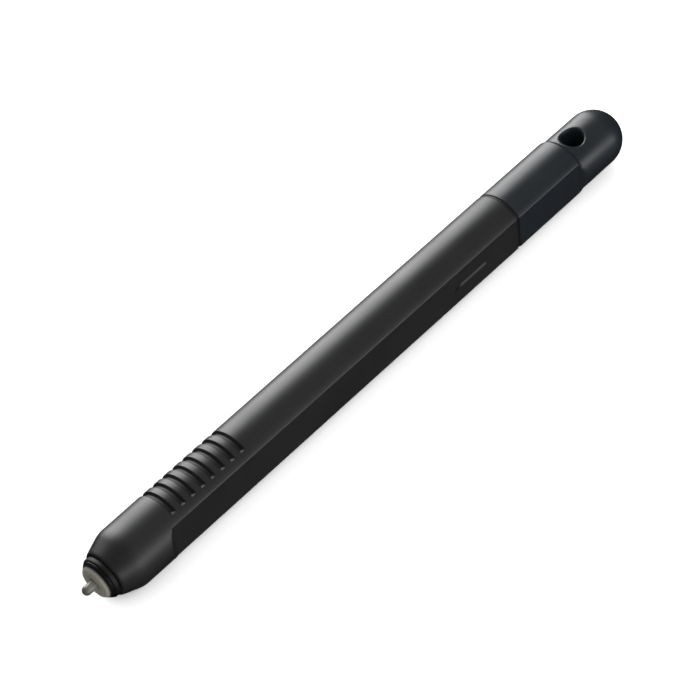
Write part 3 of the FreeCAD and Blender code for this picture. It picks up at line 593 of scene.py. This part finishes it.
def makeCap():
    sizes = capSizes
    front, rear, endRadius = capLow.x, capHigh.x, sizes["endRadius"]
    domeCentre = rear - endRadius
    holeX, holeRadius = tetherHole["pos_m"][0], tetherHole["dims"]["r_mm"] * mm
    windowEnd = holeX + sizes["windowRear"]
    windowX = evenly(holeX - sizes["windowFront"], windowEnd, sizes["windowRows"]) + [windowEnd]
    angles = capAngles()
    rings = [[aroundAxis(x, capRadius(x, a, inset), a) for a in angles]
             for x, inset in capRows(windowX, domeCentre)]
    rings += [[aroundAxis(domeCentre + endRadius * math.sin(t), endRadius * math.cos(t), a)
               for a in angles] for t in evenly(0, math.pi / 2, sizes["domeRows"])]
    rings.append([Vector((rear, 0, axisHeight))] * len(angles))
    bm = bmesh.new()
    bridge(bm, rings)
    boreEnd, keywayEnd = front + sizes["boreLength"], front + sizes["keywayLength"]
    inside = [[keywayPoint(x, a) for a in angles] for x in (front, keywayEnd)]
    inside += [[aroundAxis(x, r, a) for a in angles] for x, r in (
        (keywayEnd, sizes["boreRadius"]), (boreEnd, sizes["boreRadius"]), (boreEnd, 0))]
    bridge(bm, [rings[0], *inside])
    openWindows(bm, windowX)
    bridge(bm, holeRings(windowX, holeX, holeRadius))
    finishPiece(newPiece("tailCap", bm), "cap", "rear_cap", "cap_plastic")


makeSeamRing()
makeCap()
print("cap made")

# acetal, turned and left natural: warm grey and waxy, with faint tool rings. Its dark rim is painted
# shade: it carries the black of the ring behind it, and the shadow of the gap there, forward to where
# that ring ought to start
insertLook = {
    "name": "turnedAcetal", "dark": "#5f5d56", "light": "#6f6d65", "grain": 0.1 * mm, "patch": 2 * mm,
    "lines": 0.12 * mm, "roughness": 0.36, "variation": 0.05, "relief": 0.06,
    "fadeColour": "#0b0b0a", "fadeFrom": 2.75 * mm, "fadeTo": 3.05 * mm, "shader": {"IOR": 1.48},
}
# acetal nib, rubbed by the screen: the same stuff, darker and smoother, darkest at its very end
nibLook = dict(insertLook, name="rubbedAcetal", dark="#55534d", light="#605e57", roughness=0.3,
               fadeColour="#3c3a34", fadeFrom=1.6 * mm, fadeTo=0.0)
insertSizes = {"frontRadius": 2.56 * mm, "rearRadius": 3.5 * mm, "coneLength": 1.1 * mm,
               "spigotRadius": 2.73 * mm, "guideRadius": 0.86 * mm, "guideLength": 3 * mm,
               "reliefRadius": 1.3 * mm, "rounding": 0.22 * mm, "leadIn": 0.12 * mm, "edge": 0.1 * mm}
nibSizes = {"radius": 0.8 * mm, "headLength": 14 * mm, "neckLength": 0.5 * mm, "shaftRadius": 0.5 * mm,
            "tipSteps": 14, "edge": 0.15 * mm}
ringSizes = {"radius": 3.6 * mm, "boreRadius": 2.77 * mm, "rounding": 0.3 * mm}


def addFade(tree, distance, look, finish):
    # the colour turns to fadeColour between the distances fadeFrom and fadeTo
    share = addNode(tree, "ShaderNodeMapRange", {"interpolation_type": "SMOOTHSTEP"}, {
        "Value": distance, "From Min": look["fadeFrom"], "From Max": look["fadeTo"]})
    colour = linearColor(look["fadeColour"])
    finish["Base Color"] = mixColour(tree, share, finish["Base Color"], colour)


def paintedRimShade(tree, place, look, finish):
    # drops the place along the axis, and centres the rest on it
    flat = addNode(tree, "ShaderNodeVectorMath", {"operation": "MULTIPLY_ADD"}, {
        0: place, 1: (0, 1, 1), 2: (0, 0, -axisHeight)})
    fromAxis = addNode(tree, "ShaderNodeVectorMath", {"operation": "LENGTH"}, {0: flat}).outputs["Value"]
    # the insert's outer rim turns near-black here: painted shade of the gap and ring behind it
    addFade(tree, fromAxis, look, finish)


def tipDetail(tree, place, look, finish):
    along = addNode(tree, "ShaderNodeSeparateXYZ", inputs={"Vector": place}).outputs["X"]
    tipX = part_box("nib")[0].x
    fromTip = addNode(tree, "ShaderNodeMath", {"operation": "SUBTRACT"}, {0: along, 1: tipX})
    addFade(tree, fromTip, look, finish)


def makeInsert():
    low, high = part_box("nose_insert")
    sizes = insertSizes
    coneEnd, guideEnd = low.x + sizes["coneLength"], low.x + sizes["guideLength"]
    insert = turnedPiece("nibGuide", [
        (low.x, sizes["guideRadius"], sizes["leadIn"]),
        (low.x, sizes["frontRadius"], sizes["rounding"]),
        (coneEnd, sizes["rearRadius"], sizes["edge"]),
        (coneEnd, sizes["spigotRadius"], 0),
        (high.x, sizes["spigotRadius"], sizes["edge"]),
        (high.x, sizes["reliefRadius"], 0),
        (guideEnd, sizes["reliefRadius"], 0),
        (guideEnd, sizes["guideRadius"], 0),
    ])
    finishPiece(insert, "barrel", "nose_insert", "insert_plastic")


def makeNoseRing():
    low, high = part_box("nose_ring")
    ring = turnedPiece("noseRing", [
        (low.x, ringSizes["boreRadius"], 0),
        (low.x, ringSizes["radius"], ringSizes["rounding"]),
        (high.x, ringSizes["radius"], ringSizes["rounding"]),
        (high.x, ringSizes["boreRadius"], 0),
    ])
    finishPiece(ring, "barrel", "nose_ring", "ring_rubber")


def makeNib():
    low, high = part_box("nib")
    sizes = nibSizes
    radius, headEnd = sizes["radius"], low.x + sizes["headLength"]
    outline = [(low.x + radius * (1 - math.cos(a)), radius * math.sin(a), 0)
               for a in evenly(0, math.pi / 2, sizes["tipSteps"])]
    outline += [(low.x + radius, radius, 0), (headEnd, radius, sizes["edge"]),
                (headEnd + sizes["neckLength"], sizes["shaftRadius"], 0),
                (high.x, sizes["shaftRadius"], sizes["edge"]), (high.x, 0, 0)]
    finishPiece(turnedPiece("roundNib", outline, segments=64), "nib", "nib", "nib_plastic")


materials["insert_plastic"] = surfaceMaterial(insertLook, paintedRimShade)
materials["nib_plastic"] = surfaceMaterial(nibLook, tipDetail)
makeInsert()
makeNoseRing()
makeNib()
print("tip made")

# filled epoxy ink, wiped flush with the flat: only a little lighter than the plastic, matt
barLook = {
    "name": "wipedEpoxyInk", "dark": "#2b2b2b", "light": "#333333", "grain": 0.08 * mm,
    "patch": 1.5 * mm, "roughness": 0.55, "variation": 0.04, "relief": 0.1, "edge": 0.04 * mm,
    "shader": {"IOR": 1.5},
}


def makeBar():
    bar = blockPiece("inlaidBar", *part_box("index_bar"))
    rounded = bar.modifiers.new("rounded", "BEVEL")
    rounded.width = barLook["edge"]
    rounded.segments = 3
    meshFromModifiers(bar)
    finishPiece(bar, "barrel", "index_bar", "bar_paint")


materials["bar_paint"] = surfaceMaterial(barLook)
makeBar()
print("bar made")

# copper wire with a clear enamel coat: red-brown metal with a hard gloss over it
wireLook = {
    "name": "enamelledCopperWire", "dark": "#8a3c1e", "light": "#a34c28", "grain": 0.3 * mm,
    "patch": 1.2 * mm, "roughness": 0.3, "variation": 0.06, "relief": 0.05,
    "shader": {"Metallic": 1.0, "Coat Weight": 0.7, "Coat Roughness": 0.12},
}
coilLow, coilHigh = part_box("coil_winding")
coilSizes = {
    "Wire": 0.11 * mm,  # radius over the enamel
    "Layer Step": 0.2 * mm,  # the layers nest in each other's valleys
    "Outer": (coilHigh.z - coilLow.z) / 2,
    "Front": coilLow.x,
    "Length": coilHigh.x - coilLow.x,
    "Axis": axisHeight,
}
coilLayers = 4


def coilTree():
    # winds one close helix for each layer, to and fro
    tree = newNodeTree("coilLayers", coilSizes)
    given = addNode(tree, "NodeGroupInput").outputs
    thick = addNode(tree, "ShaderNodeMath", {"operation": "MULTIPLY"}, {0: given["Wire"], 1: 2.0})
    travel = addNode(tree, "ShaderNodeMath", {"operation": "SUBTRACT"}, {0: given["Length"], 1: thick})
    turns = addNode(tree, "ShaderNodeMath", {"operation": "DIVIDE"}, {0: travel, 1: thick})
    outside = addNode(tree, "ShaderNodeMath", {"operation": "SUBTRACT"}, {
        0: given["Outer"], 1: given["Wire"]})
    section = addNode(tree, "GeometryNodeCurvePrimitiveCircle", inputs={
        "Resolution": 6, "Radius": given["Wire"]})
    layers = addNode(tree, "GeometryNodeJoinGeometry")
    for layer in range(coilLayers):
        radius = addNode(tree, "ShaderNodeMath", {"operation": "MULTIPLY_ADD"}, {
            0: given["Layer Step"], 1: -float(layer), 2: outside})
        helix = addNode(tree, "GeometryNodeCurveSpiral", inputs={
            "Resolution": 32, "Rotations": turns, "Start Radius": radius, "End Radius": radius,
            "Height": travel, "Reverse": layer % 2 == 1})
        wire = addNode(tree, "GeometryNodeCurveToMesh", inputs={
            "Curve": helix, "Profile Curve": section, "Fill Caps": True})
        tree.links.new(wire.outputs[0], layers.inputs[0])
    start = addNode(tree, "ShaderNodeMath", {"operation": "ADD"}, {0: given["Front"], 1: given["Wire"]})
    place = addNode(tree, "ShaderNodeCombineXYZ", inputs={"X": start, "Z": given["Axis"]})
    wound = addNode(tree, "GeometryNodeTransform", inputs={
        "Geometry": layers, "Translation": place, "Rotation": (0, math.pi / 2, 0)})
    endTree(tree, wound, given["Material"])
    return tree


def makeCoil():
    coil = bpy.data.objects.new("woundCoil", bpy.data.meshes.new("woundCoil"))
    bpy.context.scene.collection.objects.link(coil)
    runTree(coil, coilTree(), {**coilSizes, "Material": materials["enamelled_copper"]})
    coil.data.shade_smooth()
    finishPiece(coil, "barrel", "coil_winding", "enamelled_copper")


materials["enamelled_copper"] = surfaceMaterial(wireLook)
makeCoil()
print("coil made")

innerLooks = {
    # glass-filled nylon, moulded: dull brown-black with soft paler swirls and a grainy skin
    "chassis_plastic": {"name": "glassFilledNylon", "dark": "#24221f", "light": "#34312c",
                        "grain": 0.25 * mm, "patch": 1.8 * mm, "roughness": 0.58, "variation": 0.08,
                        "relief": 0.25, "shader": {"IOR": 1.53}},
    # acetal, moulded: chalky white, waxy and nearly even
    "sensor_plastic": {"name": "mouldedAcetal", "dark": "#c9c6bb", "light": "#dbd8cd", "grain": 0.15 * mm,
                       "patch": 2.5 * mm, "roughness": 0.35, "variation": 0.05, "relief": 0.06,
                       "shader": {"IOR": 1.48, "Subsurface Weight": 0.1,
                                  "Subsurface Radius": (0.6 * mm,) * 3}},
    # ABS, moulded in a polished tool: black with a hard clear sheen
    "sleeve_plastic": {"name": "polishedAbs", "dark": "#121213", "light": "#181819", "grain": 0.2 * mm,
                       "patch": 6 * mm, "roughness": 0.28, "variation": 0.05, "relief": 0.05,
                       "shader": {"IOR": 1.52}},
    # epoxy, transfer-moulded round a chip: charcoal, matt, a gritty filler in it
    "chip_plastic": {"name": "mouldedEpoxy", "dark": "#17181a", "light": "#222326", "grain": 0.08 * mm,
                     "patch": 0.5 * mm, "roughness": 0.62, "variation": 0.06, "relief": 0.3,
                     "shader": {"IOR": 1.55}},
    # foamed silicone, cut from sheet: dark grey, open pores, no shine
    "buffer_rubber": {"name": "foamedSilicone", "dark": "#1c1b1a", "light": "#2c2a28", "grain": 0.3 * mm,
                      "patch": 0.6 * mm, "roughness": 0.8, "variation": 0.06, "relief": 0.6,
                      "shader": {"IOR": 1.41, "Sheen Weight": 0.2, "Sheen Roughness": 0.5}},
    # barium titanate, fired: buff, close-grained, a slight glaze from the kiln
    "ceramic": {"name": "firedTitanate", "dark": "#9a8358", "light": "#b49c70", "grain": 0.1 * mm,
                "patch": 0.7 * mm, "roughness": 0.42, "variation": 0.08, "relief": 0.12,
                "shader": {"IOR": 1.7}},
    # soft ferrite, fired and ground: slate grey, dense, with grinding marks round it
    "ferrite": {"name": "firedFerrite", "dark": "#1e2023", "light": "#30343a", "grain": 0.09 * mm,
                "patch": 1.0 * mm, "lines": 0.3 * mm, "roughness": 0.5, "variation": 0.1, "relief": 0.2,
                "shader": {"IOR": 2.2}},
    # brass strip, nickel-plated and stamped: pale warm silver, softly brushed
    "plated_metal": {"name": "nickelPlatedBrass", "dark": "#b3aa98", "light": "#cbc3b2",
                     "grain": 0.12 * mm, "patch": 1.5 * mm, "lines": 0.08 * mm, "roughness": 0.3,
                     "variation": 0.08, "relief": 0.1, "shader": {"Metallic": 1.0}},
    # spring steel wire, cold drawn: grey with a bluish cast and a faint grain
    "spring_steel": {"name": "drawnSpringSteel", "dark": "#7d8187", "light": "#9a9ea3", "grain": 0.1 * mm,
                     "patch": 0.8 * mm, "roughness": 0.26, "variation": 0.06, "relief": 0.08,
                     "shader": {"Metallic": 1.0}},
    # tin solder, reflowed: bright silver, with a frosty crust as it froze
    "solder": {"name": "reflowedTin", "dark": "#a8abad", "light": "#c4c7c9", "grain": 0.15 * mm,
               "patch": 0.4 * mm, "roughness": 0.34, "variation": 0.12, "relief": 0.3,
               "shader": {"Metallic": 1.0}},
    # glass-epoxy board under solder mask: bottle green, glossy, with tracks and the weave in relief
    "board_laminate": {"name": "maskedGlassEpoxy", "dark": "#0f3a22", "light": "#14492b",
                       "grain": 0.2 * mm, "patch": 2.5 * mm, "roughness": 0.3, "variation": 0.05,
                       "relief": 0.08, "track": "#2d7448", "trackPitch": 0.9 * mm,
                       "trackEdge": (0.72, 0.8), "weavePitch": 0.5 * mm, "weaveRelief": 0.3,
                       "weaveHeight": 0.03 * mm,
                       "shader": {"IOR": 1.52, "Coat Weight": 0.3, "Coat Roughness": 0.15}},
}
# the same fired titanate with tin fired on over both ends of each chip
tinnedLook = dict(innerLooks["ceramic"], name="tinEndedCeramic", tin="#b9bcbe", bodyHalf=0.45 * mm)


def boardDetail(tree, place, look, finish):
    tracks = addNode(tree, "ShaderNodeTexWave", {"bands_direction": "Z"}, {
        "Vector": place, "Scale": bandScale(look["trackPitch"]), "Distortion": 1.5}).outputs["Fac"]
    edgeLow, edgeHigh = look["trackEdge"]
    track = addNode(tree, "ShaderNodeMapRange", inputs={
        "Value": tracks, "From Min": edgeLow, "From Max": edgeHigh})
    finish["Base Color"] = mixColour(tree, track, finish["Base Color"], linearColor(look["track"]))
    threads = [addNode(tree, "ShaderNodeTexWave", {"bands_direction": direction}, {
        "Vector": place, "Scale": bandScale(look["weavePitch"])}).outputs["Fac"] for direction in "XZ"]
    weave = addNode(tree, "ShaderNodeMath", {"operation": "MULTIPLY"}, {0: threads[0], 1: threads[1]})
    raised = addNode(tree, "ShaderNodeMath", {"operation": "ADD"}, {0: weave, 1: track})
    finish["Normal"] = addNode(tree, "ShaderNodeBump", inputs={
        "Height": raised, "Strength": look["weaveRelief"], "Distance": look["weaveHeight"]})


def tinDetail(tree, place, look, finish):
    height = addNode(tree, "ShaderNodeSeparateXYZ", inputs={"Vector": place}).outputs["Z"]
    off = addNode(tree, "ShaderNodeMath", {"operation": "SUBTRACT"}, {0: height, 1: axisHeight})
    reach = addNode(tree, "ShaderNodeMath", {"operation": "ABSOLUTE"}, {0: off})
    tinned = addNode(tree, "ShaderNodeMath", {"operation": "GREATER_THAN"}, {
        0: reach, 1: look["bodyHalf"]})
    finish["Base Color"] = mixColour(tree, tinned, finish["Base Color"], linearColor(look["tin"]))
    finish["Metallic"] = tinned


def finishInnerNodes():
    details = {"board_laminate": boardDetail}
    for slot, look in innerLooks.items():
        materials[slot] = surfaceMaterial(look, details.get(slot))
    tinned = surfaceMaterial(tinnedLook, tinDetail)
    for name, node in frame["nodes"].items():
        for slot in node.material_slots:
            finish = tinned if name == "chip_capacitors" else materials[slot.material.name]
            slot.link = "OBJECT"
            slot.material = finish


finishInnerNodes()
print("inner parts finished")

studio = {
    "floorSize": 3.0,
    "floorColour": "#f6f6f6",
    "worldColour": "#ffffff",
    "worldStrength": 1.05,
    "lens": 144,
    "distance": 0.4388,  # metres
    "away": Vector((-0.43, -0.4878, 0.7598)),  # from the pen to the camera
    "roll": math.radians(-7.88),
    "aim": Vector((-3.08 * mm, 0, axisHeight)),
    "aimRight": -0.02 * mm,  # across the picture, from the aim
    "aimUp": 0.9 * mm,
}
# around is in degrees from straight up towards the back; along leans towards the tail; size is
# (round the pen, along it); one that doesn't shine only fills
lights = {
    "softboxBehind": {"around": 67, "along": 0.36, "distance": 0.6, "size": (0.6, 0.5),
                      "power": 6.5, "shines": True},
    "softboxAbove": {"around": -18, "along": 0.45, "distance": 0.7, "size": (0.35, 0.4),
                     "power": 0.15, "shines": True},
    "stripFront": {"around": -82, "along": 0.15, "distance": 0.5, "size": (0.14, 0.7),
                   "power": 1.5, "shines": True},
    "fillFront": {"around": -45, "along": 0.2, "distance": 0.9, "size": (0.6, 0.6),
                  "power": 5.0, "shines": False},
}


def addLight(name, setting):
    data = bpy.data.lights.new(name, "AREA")
    data.shape = "RECTANGLE"
    data.size, data.size_y = setting["size"]
    data.energy = setting["power"]
    light = bpy.data.objects.new(name, data)
    bpy.context.scene.collection.objects.link(light)
    turn = math.radians(setting["around"])
    direction = Vector((setting["along"], math.sin(turn), math.cos(turn))).normalized()
    light.location = Vector((0, 0, axisHeight)) + direction * setting["distance"]
    light.rotation_mode = "QUATERNION"
    light.rotation_quaternion = direction.to_track_quat("Z", "X")
    light.visible_glossy = setting["shines"]


def makeStudio():
    bm = bmesh.new()
    bmesh.ops.create_grid(bm, x_segments=2, y_segments=2, size=studio["floorSize"] / 2)
    bmesh.ops.translate(bm, verts=bm.verts, vec=(0, 0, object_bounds()[0].z))
    floor = newPiece("studioFloor", bm)
    # matt backdrop paper: even, pale, with a trace of fibre
    floor.data.materials.append(surfaceMaterial({
        "name": "paleStudioPaper", "dark": studio["floorColour"], "light": studio["floorColour"],
        "grain": 0.6 * mm, "patch": 80 * mm, "roughness": 0.9, "variation": 0.05, "relief": 0.05}))
    floor.visible_glossy = False  # only the lights are mirrored in the pen
    world = bpy.data.worlds.new("paleStudio")
    bpy.context.scene.world = world
    world.use_nodes = True
    background = world.node_tree.nodes["Background"]
    background.inputs["Color"].default_value = linearColor(studio["worldColour"])
    background.inputs["Strength"].default_value = studio["worldStrength"]
    world.cycles_visibility.glossy = False
    for name, setting in lights.items():
        addLight(name, setting)


def makeCamera():
    camera = bpy.data.objects.new("camera", bpy.data.cameras.new("camera"))
    bpy.context.scene.collection.objects.link(camera)
    away = studio["away"].normalized()
    camera.data.lens = studio["lens"]
    camera.data.clip_start, camera.data.clip_end = 0.01, 10
    look = (-away).to_track_quat("-Z", "Y") @ Matrix.Rotation(studio["roll"], 3, "Z").to_quaternion()
    aim = studio["aim"] + look @ Vector((studio["aimRight"], studio["aimUp"], 0))
    camera.rotation_mode = "QUATERNION"
    camera.rotation_quaternion = look
    camera.location = aim + away * studio["distance"]
    bpy.context.scene.camera = camera
    bpy.context.scene.view_settings.view_transform = "Standard"


makeStudio()
makeCamera()
print("studio ready")
